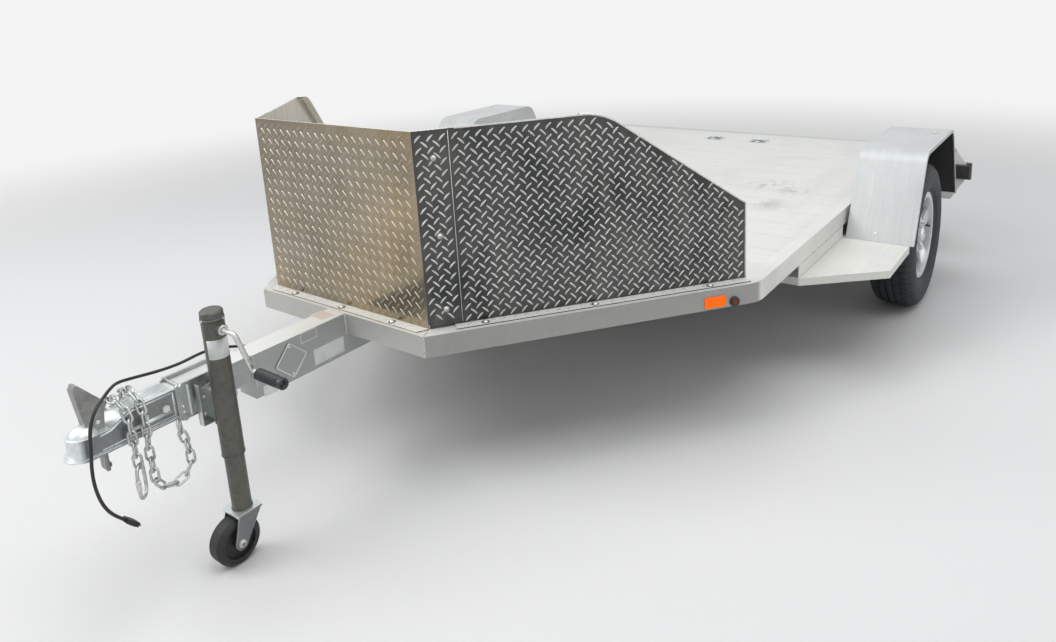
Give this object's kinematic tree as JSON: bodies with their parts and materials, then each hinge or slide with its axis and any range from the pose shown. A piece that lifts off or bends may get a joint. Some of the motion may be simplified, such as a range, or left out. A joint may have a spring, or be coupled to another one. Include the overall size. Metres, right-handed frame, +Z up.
{
  "type": "open motorcycle trailer",
  "caption": "Flat aluminium deck trailer with a bow-shaped front rock guard, box fenders, side steps, ball coupler and swing-up jack.",
  "frame": {"origin": "on the ground, under the middle of the overall box", "axes": "-Y towards the towing end, +X towards the side that carries the jack, +Z up"},
  "size_m": [2.571, 3.846, 1.067],
  "materials": {
    "rail_aluminium": "mill finish, lightly weathered",
    "deck_aluminium": "extruded, lightly scuffed",
    "tread_plate": "raised-bar tread plate",
    "fender_aluminium": "smooth sheet, folded",
    "wheel_aluminium": "cast and machined",
    "zinc_steel": "zinc plated",
    "bolt_steel": "zinc plated",
    "chain_zinc": "zinc plated, dull",
    "black_steel": "black",
    "tyre_rubber": "black rubber",
    "lamp_black": "black lamp housing",
    "amber_lens": "amber lens",
    "red_lens": "red lens",
    "cord_black": "black jacket",
    "plug_black": "moulded black",
    "wheel_plastic": "dark moulded wheel"
  },
  "bodies": {
    "frame": {"front_rail": "rail_aluminium", "side_rail_left": "rail_aluminium", "side_rail_right": "rail_aluminium", "rear_rail": "rail_aluminium", "deck_planks": "deck_aluminium", "deck_stringers": "rail_aluminium", "guard_front": "tread_plate", "guard_side_left": "tread_plate", "guard_side_right": "tread_plate", "tongue_beam": "rail_aluminium", "tongue_tube": "rail_aluminium", "coupler_body": "zinc_steel", "coupler_bolts": "bolt_steel", "coupler_lever": "zinc_steel", "axle_beam": "black_steel", "axle_hangers": "rail_aluminium", "step_cross_tube": "rail_aluminium", "fender_left": "fender_aluminium", "step_left": "deck_aluminium", "fender_right": "fender_aluminium", "step_right": "deck_aluminium", "torsion_arms": "black_steel", "tail_brackets": "fender_aluminium", "tail_lamps": "lamp_black", "tail_lenses": "red_lens", "side_lamps": "amber_lens", "safety_chains": "chain_zinc", "wiring_cord": "cord_black", "wiring_plug": "plug_black", "wiring_grommet": "plug_black", "jack_mount": "zinc_steel"},
    "wheel_left": {"tyre_left": "tyre_rubber", "rim_left": "wheel_aluminium", "hub_left": "zinc_steel"},
    "wheel_right": {"tyre_right": "tyre_rubber", "rim_right": "wheel_aluminium", "hub_right": "zinc_steel"},
    "jack": {"jack_swivel": "zinc_steel", "jack_outer_tube": "zinc_steel", "jack_cap": "plug_black"},
    "leg": {"jack_leg": "zinc_steel"},
    "crank": {"jack_crank": "zinc_steel", "crank_grip": "plug_black"},
    "caster": {"caster_fork": "zinc_steel"},
    "caster_roller": {"caster_wheel": "wheel_plastic"}
  },
  "joints": [
    {"name": "wheel_left_spin", "type": "hinge", "parent": "frame", "child": "wheel_left", "pos_m": [1.15, 0.99, 0.305], "axis": [1, 0, 0], "continuous": true},
    {"name": "wheel_right_spin", "type": "hinge", "parent": "frame", "child": "wheel_right", "pos_m": [-1.15, 0.99, 0.305], "axis": [1, 0, 0], "continuous": true},
    {"name": "jack_swing", "type": "hinge", "parent": "frame", "child": "jack", "pos_m": [0.04, -1.575, 0.435], "axis": [1, 0, 0], "range_deg": [0, 90]},
    {"name": "leg_lift", "type": "slide", "parent": "jack", "child": "leg", "axis": [0, 0, 1], "range_m": [0, 0.14]},
    {"name": "crank_turn", "type": "hinge", "parent": "jack", "child": "crank", "pos_m": [0.1, -1.575, 0.65], "axis": [1, 0, 0], "continuous": true},
    {"name": "caster_swivel", "type": "hinge", "parent": "leg", "child": "caster", "pos_m": [0.1, -1.575, 0.14], "axis": [0, 0, 1], "continuous": true},
    {"name": "caster_roll", "type": "hinge", "parent": "caster", "child": "caster_roller", "pos_m": [0.1, -1.609, 0.064], "axis": [1, 0, 0], "continuous": true}
  ]
}
